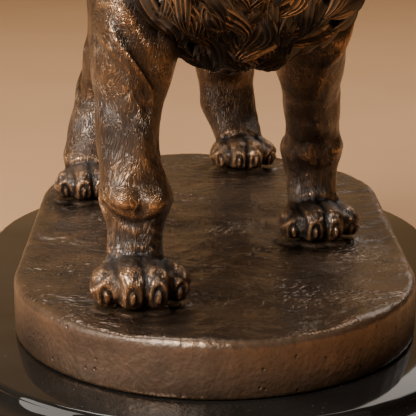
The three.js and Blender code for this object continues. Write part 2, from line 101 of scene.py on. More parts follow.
def evenOut(piece, settings):  # one fine even mesh in place of the solid's own faces
    voxel = settings["voxel"] * millimetre
    applyModifier(piece, "REMESH", mode="VOXEL", voxel_size=voxel, adaptivity=0)


def decimate(piece, ratio, **values):
    applyModifier(piece, "DECIMATE", ratio=ratio, use_collapse_triangulate=True, **values)


def copyOfNode(nodeName, pieceName):
    piece = bpy.data.objects.new(pieceName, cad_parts[nodeName].data.copy())
    bpy.context.scene.collection.objects.link(piece)
    piece.data.materials.clear()
    mesh = bmesh.new()
    mesh.from_mesh(piece.data)
    bmesh.ops.remove_doubles(mesh, verts=mesh.verts, dist=weldDistance)
    mesh.to_mesh(piece.data)
    mesh.free()
    return piece


def vertexPlaces(piece):
    flat = np.empty(len(piece.data.vertices) * 3)
    piece.data.vertices.foreach_get("co", flat)
    return flat.reshape(-1, 3)


def placeVertices(piece, places):
    piece.data.vertices.foreach_set("co", np.ascontiguousarray(places, dtype=np.float64).ravel())
    piece.data.update()


def vertexNormals(piece):
    flat = np.empty(len(piece.data.vertices) * 3, dtype=np.float32)
    piece.data.vertex_normals.foreach_get("vector", flat)
    return flat.reshape(-1, 3).astype(float)


def addAttribute(piece, name, values):
    attribute = piece.data.attributes.new(name, "FLOAT", "POINT")
    attribute.data.foreach_set("value", np.asarray(values, dtype=np.float32))


def averageOfNeighbours(piece):  # a function that averages any value over each vertex's neighbours
    flat = np.empty(len(piece.data.edges) * 2, dtype=np.int32)
    piece.data.edges.foreach_get("vertices", flat)
    a, b = flat.reshape(-1, 2).T
    count = len(piece.data.vertices)
    ends, others = np.concatenate([a, b]), np.concatenate([b, a])
    share = 1 / np.maximum(np.bincount(ends, minlength=count), 1)

    def average(values):
        if values.ndim == 1:
            return np.bincount(ends, values[others], count) * share
        return np.stack([average(column) for column in values.T], axis=1)
    return average


def repeat(average, values, rounds):
    for _ in range(rounds):
        values = average(values)
    return values


reliefMeasure = {"nearRounds": 3, "farRounds": 13, "slopeRounds": 30, "slopeShare": 0.85, "reach": 0.62}


def measureRelief(piece, fineGain, broadGain):
    # How proud each point stands of its surroundings: 0.5 is level, 1 a ridge, 0 a recess.
    settings = reliefMeasure
    average = averageOfNeighbours(piece)
    places = vertexPlaces(piece) / millimetre
    normals = vertexNormals(piece)
    near = repeat(average, places, settings["nearRounds"])
    far = repeat(average, near, settings["farRounds"])
    fine = ((places - near) * normals).sum(1)
    broad = ((places - far) * normals).sum(1)
    broad = broad - settings["slopeShare"] * repeat(average, broad, settings["slopeRounds"])
    # Where the faces are larger the neighbours reach further, so the measure is taken back there.
    square = (places**2).sum(1)
    reach = average(square) - 2 * (places * average(places)).sum(1) + square
    level = (fineGain * fine + broadGain * broad) * np.clip(settings["reach"] / np.maximum(reach, 1e-6), 0, 1)
    return np.clip(0.5 + 0.5 * average(level), 0, 1)


def ramp(value, low, high):
    t = np.clip((value - low) / (high - low), 0, 1)
    return t * t * (3 - 2 * t)


def bell(value, width):
    return np.exp(-(value / width) ** 2)


def latticeNoise(points, seed=0):  # smooth noise from -1 to 1, one lump for each unit
    hashes = np.array([73856093, 19349663, 83492791])
    cell = np.floor(points).astype(np.int64)
    part = points - cell
    part = part * part * (3 - 2 * part)
    total = np.zeros(len(points))
    for corner in range(8):
        step = np.array([corner & 1, corner >> 1 & 1, corner >> 2 & 1])
        key = (cell + step) @ hashes + seed * 8191
        key = ((key ^ (key >> 13)) * 1274126177) & 0x7FFFFFFF
        value = ((key ^ (key >> 15)) & 0xFFFF) / 65535
        total += value * np.prod(np.where(step, part, 1 - part), axis=1)
    return total * 2 - 1


def layeredNoise(points, layers=3, seed=0):
    return sum(latticeNoise(points * 2**i, seed + i) / 2**i for i in range(layers))


# Camera, floor and lights

photoCamera = {
    "place": (-10.2, -706.7, 170.6),  # the height is over the ground's top
    "pitch": 0.226,
    "yaw": -0.012,
    "focalPixels": 1760,
    "photoPixels": 416,
    "sensor": 36,
}


def makeCamera():
    settings = photoCamera
    x, y, z = settings["place"]
    bpy.ops.object.camera_add(
        location=(x * millimetre, y * millimetre, (figure["groundTop"] + z) * millimetre),
        rotation=(math.pi / 2 - settings["pitch"], 0, settings["yaw"]),
    )
    camera = bpy.context.object
    camera.name = "photoCamera"
    camera.data.sensor_width = settings["sensor"]
    camera.data.lens = settings["focalPixels"] / settings["photoPixels"] * settings["sensor"]
    camera.data.clip_start = 0.01
    bpy.context.scene.camera = camera


studio = {
    "wall": (0.5, 0.29, 0.13),
    "roomToWall": ((0.35, 0.16), (0.85, 0.64)),  # how far back a direction points, and the strength there
    "wallsEnd": ((0.13, 1.0), (0.36, 0.35)),  # the same to the right, as a share of it
    "lights": [  # name, place, size, watts, colour
        ("key", (-0.75, -0.95, 0.9), 0.6, 35, (1.0, 0.94, 0.87)),
        ("fill", (1.2, -1.0, 0.7), 1.2, 0.7, (1.0, 0.93, 0.86)),
        ("top", (-0.15, 0.5, 1.4), 0.9, 18, (1.0, 0.96, 0.92)),
        ("rim", (0.7, 1.2, 0.9), 0.8, 3, (1.0, 0.94, 0.88)),
        ("low", (-0.95, -0.25, 0.3), 0.5, 3.2, (1.0, 0.93, 0.85)),
    ],
    "aim": (0, -0.02, 0.1),
    "floorSize": 16,
    "floorPlace": (0, 0.6, 0),
}


def makeStudio():
    world = bpy.data.worlds.new("studioWall")
    bpy.context.scene.world = world
    world.use_nodes = True
    tree = world.node_tree
    background = tree.nodes["Background"]
    background.inputs["Color"].default_value = (*studio["wall"], 1)
    # The wall behind the lion is lit and the rest of the room is dimmer.
    view = addNode(tree, "ShaderNodeTexCoord").outputs["Generated"]
    direction = addNode(tree, "ShaderNodeSeparateXYZ", {0: view}).outputs
    back = mapRange(tree, direction["Y"], *studio["roomToWall"])
    # It ends to the right of the picture, so the legs' inner sides stay dark.
    right = mapRange(tree, direction["X"], *studio["wallsEnd"])
    feed(tree, background, {"Strength": calculate(tree, "MULTIPLY", back, right)})
    for name, place, size, watts, color in studio["lights"]:
        bpy.ops.object.light_add(type="AREA", location=place)
        light = bpy.context.object
        light.name = name + "Light"
        light.data.energy = watts
        light.data.size = size
        light.data.color = color
        aim = Vector(studio["aim"]) - light.location
        light.rotation_euler = aim.to_track_quat("-Z", "Y").to_euler()
    bpy.ops.mesh.primitive_plane_add(size=studio["floorSize"], location=studio["floorPlace"])
    floor = bpy.context.object
    floor.name = "paleFloor"
    floor.data.materials.append(floorMaterial())
    print("studio ready")


# Shader helpers

def newMaterial(name):
    material = bpy.data.materials.new(name)
    material.use_nodes = True
    tree = material.node_tree
    return material, tree, tree.nodes["Principled BSDF"]


def feed(tree, node, values):  # each input gets another node's output or a plain value
    for key, value in values.items():
        if isinstance(value, bpy.types.NodeSocket):
            tree.links.new(value, node.inputs[key])
        else:
            node.inputs[key].default_value = value


def addNode(tree, kind, values=None, **settings):
    node = tree.nodes.new(kind)
    for key, value in settings.items():
        setattr(node, key, value)
    feed(tree, node, values or {})
    return node


def newGroup(name, inputs, outputs):
    group = bpy.data.node_groups.new(name, "ShaderNodeTree")
    for kind, sockets in (("INPUT", inputs), ("OUTPUT", outputs)):
        for label, socketType, *start in sockets:
            socket = group.interface.new_socket(label, in_out=kind, socket_type="NodeSocket" + socketType)
            if start:
                socket.default_value = start[0]
    return group, addNode(group, "NodeGroupInput"), addNode(group, "NodeGroupOutput")


def addGroup(tree, group, values):
    return addNode(tree, "ShaderNodeGroup", values, node_tree=group)


def calculate(tree, operation, first, second=None, third=None, clamp=False):
    given = {i: value for i, value in enumerate((first, second, third)) if value is not None}
    return addNode(tree, "ShaderNodeMath", given, operation=operation, use_clamp=clamp).outputs[0]


def combine(tree, operation, first, second):  # the same for vectors
    return addNode(tree, "ShaderNodeVectorMath", {0: first, 1: second}, operation=operation).outputs[0]


def mapRange(tree, value, start, end):  # start and end: a value and what it becomes
    ends = {"From Min": start[0], "From Max": end[0], "To Min": start[1], "To Max": end[1]}
    return addNode(tree, "ShaderNodeMapRange", {"Value": value, **ends}).outputs["Result"]


def gray(value):
    return (value, value, value)


def colorRamp(tree, value, stops, interpolation="LINEAR"):
    node = addNode(tree, "ShaderNodeValToRGB", {"Fac": value})
    node.color_ramp.interpolation = interpolation
    for element, (position, color) in zip(node.color_ramp.elements, stops):
        element.position = position
        element.color = (*color, 1)
    return node.outputs["Color"]


def mixColors(tree, factor, first, second, blend="MIX"):
    values = {"Factor": factor, "A": first, "B": second}
    return addNode(tree, "ShaderNodeMix", values, data_type="RGBA", blend_type=blend).outputs["Result"]


def objectPlace(tree):
    return addNode(tree, "ShaderNodeTexCoord").outputs["Object"]


def attributeSocket(tree, name):
    return addNode(tree, "ShaderNodeAttribute", attribute_name=name).outputs["Fac"]


def addNoise(tree, place, scale, detail, roughness=0.5):
    values = {"Vector": place, "Scale": scale, "Detail": detail, "Roughness": roughness}
    return addNode(tree, "ShaderNodeTexNoise", values)


def bumpNormal(tree, height, strength, distance):
    values = {"Height": height, "Strength": strength, "Distance": distance}
    return addNode(tree, "ShaderNodeBump", values).outputs["Normal"]


def makeFurGroup():
    # Engraved hair strokes: noise drawn out along Z or Y, wandering sideways, cut into thin lines.
    group, given, result = newGroup(
        "furStrokes",
        [("Width", "Float", 0.8), ("Length", "Float", 7.0), ("Wander", "Float", 1.0), ("Level", "Float", 0.0)],
        [("Height", "Float"), ("Line", "Float"), ("Crest", "Float")],
    )
    place = objectPlace(group)
    wander = combine(group, "SUBTRACT", addNoise(group, place, 50.0, 1.5).outputs["Color"], gray(0.5))
    far = calculate(group, "MULTIPLY", given.outputs["Wander"], 0.014)
    push = addNode(group, "ShaderNodeVectorMath", {0: wander, "Scale": far}, operation="SCALE")
    moved = combine(group, "ADD", place, push.outputs[0])
    across = calculate(group, "DIVIDE", 1000.0, given.outputs["Width"])
    along = calculate(group, "DIVIDE", 1000.0, given.outputs["Length"])
    strokes = []
    for y, z in ((across, along), (along, across)):
        stretch = addNode(group, "ShaderNodeCombineXYZ", {"X": across, "Y": y, "Z": z})
        drawn = combine(group, "MULTIPLY", moved, stretch.outputs[0])
        strokes.append(addNoise(group, drawn, 0.5, 1.0, 0.4).outputs["Fac"])
    choice = {"Factor": given.outputs["Level"], "A": strokes[0], "B": strokes[1]}
    blend = addNode(group, "ShaderNodeMix", choice, data_type="FLOAT").outputs[0]
    # Folding the noise about its middle gives a thin raised hair with a cut line on each side of it.
    fold = calculate(group, "ABSOLUTE", calculate(group, "SUBTRACT", blend, 0.5))
    crest = calculate(group, "SUBTRACT", 1.0, calculate(group, "MULTIPLY", fold, 20.0), clamp=True)
    beside = calculate(group, "ABSOLUTE", calculate(group, "SUBTRACT", fold, 0.085))
    cut = calculate(group, "SUBTRACT", 1.0, calculate(group, "MULTIPLY", beside, 26.0), clamp=True)
    height = calculate(group, "ADD", crest, calculate(group, "MULTIPLY", cut, -0.9))
    feed(group, result, {"Height": height, "Line": cut, "Crest": crest})
    return group


def makePatinaGroup():
    # Wax and dirt stay dark in recesses, brown on level skin, and hands rub ridges to copper.
    group, given, result = newGroup(
        "bronzePatina",
        [
            ("Relief", "Float", 0.5), ("Line", "Float", 0.0), ("Crest", "Float", 0.0),
            ("Recess", "Color", (0.01, 0.006, 0.003, 1)),
            ("Skin", "Color", (0.1, 0.055, 0.028, 1)), ("Warm", "Color", (0.2, 0.09, 0.03, 1)),
            ("Ridge", "Color", (0.4, 0.2, 0.09, 1)), ("Roughness", "Float", 0.35),
        ],
        [("Color", "Color"), ("Roughness", "Float")],
    )
    place = objectPlace(group)
    clouds = addNoise(group, place, 38.0, 4.0, 0.6).outputs["Fac"]
    level = calculate(group, "MULTIPLY_ADD", clouds, 0.6, -0.3)
    level = calculate(group, "ADD", given.outputs["Relief"], level)
    level = calculate(group, "SUBTRACT", level, calculate(group, "MULTIPLY", given.outputs["Line"], 0.17))
    level = calculate(group, "ADD", level, calculate(group, "MULTIPLY", given.outputs["Crest"], 0.2))
    patches = addNoise(group, place, 36.0, 3.0, 0.55).outputs["Fac"]
    warmth = colorRamp(group, patches, [(0.46, gray(0)), (0.68, gray(1))])
    color = mixColors(group, warmth, given.outputs["Skin"], given.outputs["Warm"])
    dark = colorRamp(group, level, [(0.12, gray(0)), (0.5, gray(1))])
    color = mixColors(group, dark, given.outputs["Recess"], color)
    bright = colorRamp(group, level, [(0.56, gray(0)), (0.92, gray(1))])
    color = mixColors(group, bright, color, given.outputs["Ridge"])
    # The polish is uneven, and duller where the relief is low.
    smear = addNoise(group, place, 140.0, 3.0).outputs["Fac"]
    rough = calculate(group, "MULTIPLY_ADD", smear, 0.22, -0.11)
    rough = calculate(group, "ADD", rough, given.outputs["Roughness"])
    dull = calculate(group, "MULTIPLY", calculate(group, "SUBTRACT", 0.5, given.outputs["Relief"]), 0.5)
    rough = calculate(group, "ADD", rough, dull, clamp=True)
    feed(group, result, {"Color": color, "Roughness": rough})
    return group


def makePitGroup():
    # The cast skin: fine grain and scattered pits.
    group, given, result = newGroup(
        "castSkin",
        [("Grain", "Float", 500.0), ("Pits", "Float", 300.0), ("Pit depth", "Float", 1.0)],
        [("Height", "Float"), ("Pit", "Float")],
    )
    place = objectPlace(group)
    grain = addNoise(group, place, given.outputs["Grain"], 3.0).outputs["Fac"]
    cells = addNode(group, "ShaderNodeTexVoronoi", {"Vector": place, "Scale": given.outputs["Pits"]})
    chosen = calculate(group, "GREATER_THAN", cells.outputs["Color"], 0.72)
    hole = colorRamp(group, cells.outputs["Distance"], [(0.08, gray(1)), (0.26, gray(0))], "EASE")
    pit = calculate(group, "MULTIPLY", hole, chosen)
    deep = calculate(group, "MULTIPLY", pit, given.outputs["Pit depth"])
    feed(group, result, {"Height": calculate(group, "SUBTRACT", grain, deep), "Pit": pit})
    return group


furGroup = makeFurGroup()
patinaGroup = makePatinaGroup()
pitGroup = makePitGroup()

bronze = {
    "metallic": 0.75,
    "castSkin": {"Grain": 700.0, "Pits": 260.0, "Pit depth": 0.3},
    "grainShare": 0.25,
    "bump": 0.9,
}


def finishBronze(tree, surface, settings, marks):
    labels = ("Recess", "Skin", "Warm", "Ridge", "Roughness")
    patina = addGroup(tree, patinaGroup, {**{label: settings[label.lower()] for label in labels}, **marks})
    feed(tree, surface, {
        "Base Color": patina.outputs["Color"],
        "Roughness": patina.outputs["Roughness"],
        "Metallic": bronze["metallic"],
        "Coat Weight": settings["coat"],
        "Coat Roughness": settings["coatRoughness"],
    })
    return patina.outputs["Color"]


def grainOver(tree, hair):
    skin = addGroup(tree, pitGroup, bronze["castSkin"])
    grain = calculate(tree, "MULTIPLY", skin.outputs["Height"], bronze["grainShare"])
    return calculate(tree, "ADD", hair, grain)


furBronze = {
    "recess": (0.005, 0.0032, 0.002, 1),
    "skin": (0.06, 0.042, 0.031, 1),
    "warm": (0.12, 0.069, 0.036, 1),
    "ridge": (0.42, 0.235, 0.115, 1),
    # Painted highlight: pale colour along the bottom edge of the paws.
    "sole": (0.4, 0.28, 0.19, 1),
    "soleHighlightShare": 0.7,
    "roughness": 0.36,
    "coat": 0.5,
    "coatRoughness": 0.34,
    "coatBump": 0.4,
    "stroke": {"Width": 0.52, "Length": 4.6},
    "strokeDepth": 0.00015,
    # Painted shade: how far the relief is lowered near and under the mane, where the mane shades the skin.
    "maneShadeDepth": 0.55,
}


def furBronzeMaterial():
    material, tree, surface = newMaterial("furBronze")
    settings = furBronze
    fur = addGroup(tree, furGroup, {**settings["stroke"], "Level": attributeSocket(tree, "lying")})
    furry = calculate(tree, "SUBTRACT", 1.0, attributeSocket(tree, "bare"))
    hair, line, crest = (
        calculate(tree, "MULTIPLY", fur.outputs[label], furry) for label in ("Height", "Line", "Crest")
    )
    height = grainOver(tree, hair)
    # Painted shade: the skin is darkened near and under the mane.
    underManeShade = calculate(tree, "MULTIPLY", attributeSocket(tree, "maneShade"), settings["maneShadeDepth"])
    relief = calculate(tree, "SUBTRACT", attributeSocket(tree, "relief"), underManeShade)
    color = finishBronze(tree, surface, settings, {"Relief": relief, "Line": line, "Crest": crest})
    # Painted highlight along the bottom edge of the paws.
    soleHighlight = calculate(tree, "MULTIPLY", attributeSocket(tree, "sole"), settings["soleHighlightShare"])
    feed(tree, surface, {
        "Base Color": mixColors(tree, soleHighlight, color, settings["sole"]),
        "Normal": bumpNormal(tree, height, bronze["bump"], settings["strokeDepth"]),
        "Coat Normal": bumpNormal(tree, height, settings["coatBump"], settings["strokeDepth"]),
    })
    return material


maneBronze = {
    "recess": (0.003, 0.002, 0.0013, 1),
    "skin": (0.052, 0.041, 0.033, 1),
    "warm": (0.065, 0.046, 0.033, 1),
    "ridge": (0.5, 0.285, 0.145, 1),
    "roughness": 0.3,
    "coat": 1.0,
    "coatRoughness": 0.22,
    "hairDepth": 0.00025,
    "lineShare": 0.6,
}


def maneBronzeMaterial():
    material, tree, surface = newMaterial("maneBronze")
    settings = maneBronze
    wander = addNoise(tree, objectPlace(tree), 260.0, 2.0).outputs["Fac"]
    count = calculate(tree, "ADD", attributeSocket(tree, "strand"), wander)
    part = calculate(tree, "SUBTRACT", calculate(tree, "FRACT", count), 0.5)
    hair = calculate(tree, "MULTIPLY", calculate(tree, "ABSOLUTE", part), 2.0)
    hair = calculate(tree, "SUBTRACT", 1.0, calculate(tree, "POWER", hair, 3.0))
    line = calculate(tree, "MULTIPLY", calculate(tree, "SUBTRACT", 1.0, hair), settings["lineShare"])
    finishBronze(tree, surface, settings, {"Relief": attributeSocket(tree, "relief"), "Line": line})
    height = grainOver(tree, hair)
    feed(tree, surface, {"Normal": bumpNormal(tree, height, bronze["bump"], settings["hairDepth"])})
    return material


groundBronze = {
    "recess": (0.022, 0.014, 0.009, 1),
    "skin": (0.115, 0.082, 0.06, 1),
    "warm": (0.16, 0.103, 0.066, 1),
    "ridge": (0.3, 0.19, 0.115, 1),
    "topShade": (0.82, 0.78, 0.72, 1),
    "foot": (0.08, 0.04, 0.018, 1),
    "footShare": ((0.032, 0.6), (0.04, 0.0)),  # a height in metres and the share there
    "roughness": 0.42,
    "upperPolish": 0.17,
    "wornPolish": 0.06,
    # How much darker the top is near the paws and in scattered patches.
    "darkGlossShare": 0.24,
    "coat": 0.12,
    "coatRoughness": 0.34,
    "castSkin": {"Grain": 520.0, "Pits": 300.0, "Pit depth": 1.0},
    "etching": {"Width": 2.2, "Length": 6.0, "Wander": 1.6, "Level": 0.55},
    "etchingShare": 0.8,
    "bump": (0.8, 0.00045),
}


def groundBronzeMaterial():
    material, tree, surface = newMaterial("groundBronze")
    settings = groundBronze
    skin = addGroup(tree, pitGroup, settings["castSkin"])
    darkGloss = attributeSocket(tree, "darkGloss")
    upper = attributeSocket(tree, "upper")
    # Darker and glossier near the paws and in scattered patches.
    darkGlossLevel = calculate(tree, "MULTIPLY", darkGloss, settings["darkGlossShare"])
    relief = calculate(tree, "SUBTRACT", attributeSocket(tree, "relief"), darkGlossLevel)
    rough = calculate(tree, "MULTIPLY_ADD", upper, -settings["upperPolish"], settings["roughness"])
    rough = calculate(tree, "SUBTRACT", rough, calculate(tree, "MULTIPLY", darkGloss, settings["wornPolish"]))
    etched = addGroup(tree, furGroup, settings["etching"])
    mark = calculate(tree, "MULTIPLY", etched.outputs["Crest"], attributeSocket(tree, "etched"))
    marks = {"Relief": relief, "Line": skin.outputs["Pit"], "Crest": mark, "Roughness": rough}
    color = finishBronze(tree, surface, settings, marks)
    color = mixColors(tree, upper, color, settings["topShade"], "MULTIPLY")
    # The side turns darker and more orange towards the plinth.
    place = addNode(tree, "ShaderNodeSeparateXYZ", {0: objectPlace(tree)})
    low = mapRange(tree, place.outputs["Z"], *settings["footShare"])
    raised = calculate(tree, "MULTIPLY", mark, settings["etchingShare"])
    height = calculate(tree, "ADD", skin.outputs["Height"], raised)
    feed(tree, surface, {
        "Base Color": mixColors(tree, low, color, settings["foot"]),
        "Normal": bumpNormal(tree, height, *settings["bump"]),
    })
    return material


blackMarble = {
    "deep": (0.006, 0.0055, 0.005),
    "cloud": (0.0156, 0.0143, 0.013),
    "speck": (0.16, 0.135, 0.11, 1),
    "speckScale": 460.0,
    "polish": (0.035, 0.085),
    "refraction": 1.52,
}


def blackMarbleMaterial():
    material, tree, surface = newMaterial("blackMarble")
    settings = blackMarble
    place = objectPlace(tree)
    clouds = addNoise(tree, place, 30.0, 5.0).outputs["Fac"]
    tone = colorRamp(tree, clouds, [(0.3, settings["deep"]), (0.8, settings["cloud"])])
    cells = addNode(tree, "ShaderNodeTexVoronoi", {"Vector": place, "Scale": settings["speckScale"]})
    chosen = calculate(tree, "GREATER_THAN", cells.outputs["Color"], 0.74)
    dot = colorRamp(tree, cells.outputs["Distance"], [(0.04, gray(1)), (0.13, gray(0))])
    smear = addNoise(tree, place, 22.0, 3.0).outputs["Fac"]
    smooth, dull = settings["polish"]
    feed(tree, surface, {
        "Base Color": mixColors(tree, calculate(tree, "MULTIPLY", dot, chosen), tone, settings["speck"]),
        "Roughness": colorRamp(tree, smear, [(0.35, gray(smooth)), (0.75, gray(dull))]),
        "IOR": settings["refraction"],
    })
    return material


paleFloor = {
    "dark": (0.435, 0.235, 0.104),
    "light": (0.465, 0.252, 0.115),
    "glow": 0.06,
    "roughness": 0.75,
}


def floorMaterial():
    material, tree, surface = newMaterial("paleFloor")
    grain = addNoise(tree, objectPlace(tree), 9.0, 5.0).outputs["Fac"]
    tone = colorRamp(tree, grain, [(0.3, paleFloor["dark"]), (0.7, paleFloor["light"])])
    feed(tree, surface, {
        "Base Color": tone,
        "Emission Color": tone,
        "Emission Strength": paleFloor["glow"],
        "Roughness": paleFloor["roughness"],
    })
    return material


# The lion's body

stance = {  # each paw: its middle, the line that its toes reach, and its width
    "foreRight": (-40.6, -121.3, 35.8),
    "foreLeft": (43.4, -38.6, 33.0),
    "hindRight": (-38.4, 52.9, 32.0),
    "hindLeft": (41.4, 105.8, 32.6),
}

toes = [  # middle, how far back, half width and height, as shares of the paw's width
    (-0.355, 0.11, 0.16, 0.19),
    (-0.126, -0.06, 0.168, 0.215),
    (0.126, -0.05, 0.168, 0.215),
    (0.355, 0.13, 0.16, 0.19),
]

lionSkin = {
    "voxel": 0.6,
    "quickVoxel": 1.3,
    "smoothRounds": 16,
    "quickRounds": 4,
    "underMane": 3.2,  # how deep the skin lies under the mane's outside
    "grain": 0.28,
    "spareKept": 0.16,  # share of the faces kept where the mane covers or on the upper body
    "triangles": 197000,
    "relief": (2.4, 0.75),  # gain of the fine and of the broad relief
}

legMarks = {  # in the lion's own millimetres; the outer side is -1 on the right legs
    "tendonHeights": [38, 41, 46, 51.5, 60.6, 67.6, 73, 77, 83, 90, 98],
    "forelegs": [  # middle, outer side, strength, how far it leans back, and the tendon's line
        (-41, -88, -1, 1.0, 0, [-29.4, -29.9, -31.6, -34.3, -35.7, -35.0, -34.6, -37, -41.1, -46.3, -50]),
        (42, -22, 1, 0.5, -0.648, [43.6, 43.0, 41.2, 38.6, 36.6, 36.4, 36.8, 38.6, 41.6, 45.4, 48]),
    ],
    "wrists": [(-40.4, -92, -1, 1.0), (44, -12, 1, 0.55)],  # middle, outer side, strength
    "hocks": [(-31, 100), (37.5, 143)],
}


def pawRelief(p, normals, x, toe, width):
    # Furrows between the toes, the arch above them, and a sheath over each claw.
    u = (p[:, 0] - x) / width
    v = (p[:, 1] - toe) / width
    w = p[:, 2] / width
    near = (np.abs(u) < 0.8) & (v > -0.4) & (v < 1.4) & (w < 0.95)
    top = near * ramp(-v, -0.8, -0.4)
    depth = np.zeros(len(p))
    for middle, cut in ((-0.262, 0.8), (0.0, 0.45), (0.258, 0.8)):
        bend = middle * (1 - 0.14 * np.clip(v, 0, 1))
        depth -= cut * bell(u - bend, 0.024) * near * ramp(w, 0.04, 0.12) * ramp(-v, -0.6, -0.3)
    arch = 0.47 - 1.1 * (u + 0.02) ** 2
    depth -= 0.5 * bell(w - arch, 0.03) * top
    depth += 0.3 * bell(w - arch - 0.06, 0.04) * top
    depth += 0.35 * bell(w - arch + 0.06, 0.04) * top
    for middle, back, half, high in toes:
        a = (u - middle) / half
        h = (w - high * 0.75) / 0.19
        face = near * ramp(-normals[:, 1], 0.05, 0.4) * ramp(w, 0.02, 0.06) * (np.abs(a) < 1.2)
        face = face * ramp(-np.abs(v - back), -0.26, -0.16)
        lean = a - 0.25 * np.sign(middle) * (abs(middle) > 0.2) * (h + 0.1)
        ring = np.hypot(lean / 0.42, (h + 0.12) / 0.78)
        uneven = 0.8 + 0.5 * latticeNoise(p / 4.5, 71)
        depth += 0.4 * bell(ring - 1.05, 0.26) * face * uneven
        depth -= 0.6 * bell(ring - 0.66, 0.24) * face * uneven
        depth += 0.3 * ramp(0.5 - ring, 0, 0.3) * face
        depth -= 0.14 * bell(np.sin(a * 7 + 2 * h), 0.4) * face * ramp(h, 0.75, 1.0) * ramp(2.2 - h, 0, 0.3)
    # The sole comes down steeply to the ground.
    around = np.hypot(normals[:, 0], normals[:, 1])
    depth += 0.25 * ramp(0.12 - w, 0, 0.1) * near * ramp(around, 0.35, 0.7)
    return depth


def legRelief(p, normals):
    x, y, z = p.T
    depth = np.zeros(len(p))
    # Forelegs: a sharp tendon winds down to the wrist, and the leg steps back on its inner side.
    for legX, legY, outer, strength, lean, line in legMarks["forelegs"]:
        back = legY + lean * np.clip(z - 40, 0, 60)
        leg = (np.abs(x - legX) < 22) & (np.abs(y - back) < 30)
        face = ramp(-normals[:, 1], -0.15, 0.35) * leg * ramp(z, 37, 44) * ramp(-z, -102, -90) * strength
        s = -outer * (x - np.interp(z, legMarks["tendonHeights"], line))
        depth += face * (0.7 * bell(s, 1.5) - 1.1 * ramp(s, 0.3, 2.6) * (1 - ramp(s, 3.2, 9)))
        depth -= face * 0.35 * bell(s + 6.5 + 1.5 * np.sin(z / 7), 1.6)
        depth += face * 0.3 * bell(s + 3.8, 2.0)
        hook = z - 74 + 1.3 * np.abs(x - legX - 1.5 * outer)
        depth -= face * 0.28 * bell(hook, 1.0) * ramp(6 - np.abs(x - legX), 0, 3)
    # The wrists: two knuckles with a crease under them, a dark undercut, strokes and chevrons below.
    for midX, midY, outer, strength in legMarks["wrists"]:
        side = outer * (x - midX)  # positive towards the outside of the leg
        wrist = (np.abs(side) < 18) & (np.abs(y - midY) < 26) & (z > 8) & (z < 50)
        face = ramp(-normals[:, 1], -0.05, 0.35) * wrist * strength
        crease = bell(z - 32.6 - 0.27 * (side - 3.5), 1.0) * ramp(side, -2, 0) * ramp(12 - side, 0, 3)
        depth -= face * 0.4 * crease
        depth -= face * 0.22 * bell(z - 41.5 + 0.06 * side**2, 1.6)
        depth -= face * 0.85 * bell(z - 27.2 - 0.05 * (side - 1) ** 2, 1.7) * ramp(side, -9, -3)
        depth += face * 1.7 * bell(z - 35.8, 4.6) * bell(side - 5.5, 4.4)
        depth += face * 1.5 * bell(z - 33.5, 4.6) * bell(side + 6.0, 4.4)
        depth -= face * 0.7 * bell(z - 33.5, 4.5) * bell(side + 0.6, 1.7)
        strokes = np.sin((side - 0.12 * z) * 2 * math.pi / 2.3)
        depth += face * 0.12 * strokes * ramp(z, 17, 19.5) * ramp(-z, -26, -24.5) * ramp(side, -1, 1)
        chevron = np.sin((z + 0.9 * np.abs(side + 4.6)) * 2 * math.pi / 3.4)
        depth += face * 0.13 * chevron * ramp(z, 13, 15) * ramp(-z, -25.5, -23.5) * ramp(-side, -0.5, 1.5)
    # The hocks: the heel's cord and a hollow on both sides of it.
    for midX, midY in legMarks["hocks"]:
        leg = (np.abs(x - midX) < 20) & (np.abs(y - midY) < 34) & (z > 16) & (z < 100)
        side = ramp(np.abs(normals[:, 0]), 0.5, 0.9) * leg
        ahead = midY - 7 - 0.42 * np.abs(z - 48)
        depth -= side * 1.1 * bell(y - ahead, 2.6) * ramp(z, 30, 50)
        depth += side * 0.6 * bell(y - ahead + 6, 3.2) * ramp(z, 24, 40)
    return depth


def faceRelief(p, normals):
    x, y, z = p.T
    across = np.abs(x)
    face = ramp(-normals[:, 1], -0.1, 0.3) * ramp(-y, 118, 126) * ramp(z, 136, 140) * ramp(-z, -190, -184)
    eye = np.hypot((across - 9.4) / 4.0, (z - 167.4) / 2.2)
    depth = 0.5 * bell(eye - 1.15, 0.22) - 0.6 * bell(eye - 0.75, 0.2) - 0.35 * bell(eye, 0.28)
    depth += 0.7 * bell(z - 173.2 + 0.18 * across, 1.6) * ramp(across, 3, 6) * ramp(19 - across, 0, 5)
    depth -= 0.55 * bell(across - 1.6, 0.7) * ramp(z, 168, 171) * ramp(-z, -181, -175)
    depth -= 0.5 * bell(across - 5.6 + 0.1 * (z - 160), 0.8) * ramp(z, 154, 158) * ramp(-z, -168, -163)
    depth -= 0.7 * bell(x, 0.6) * ramp(z, 148, 150) * ramp(-z, -159, -157.5) * ramp(-y, 150, 153)
    depth -= 0.8 * bell(z - 148.8 - 0.012 * x * x, 0.75) * ramp(13 - across, 0, 2)
    depth -= 0.5 * bell(np.hypot(across - 3.3, (z - 158.4) * 1.2) - 1.2, 0.5) * ramp(-y, 154, 157)
    for row in range(3):
        for dot in range(4):
            spot = np.hypot(across - 5.0 - 2.1 * dot, z - 156.4 + 2.1 * row - 0.3 * dot)
            depth -= 0.4 * bell(spot, 0.55) * ramp(-y, 140, 144)
    return depth * face


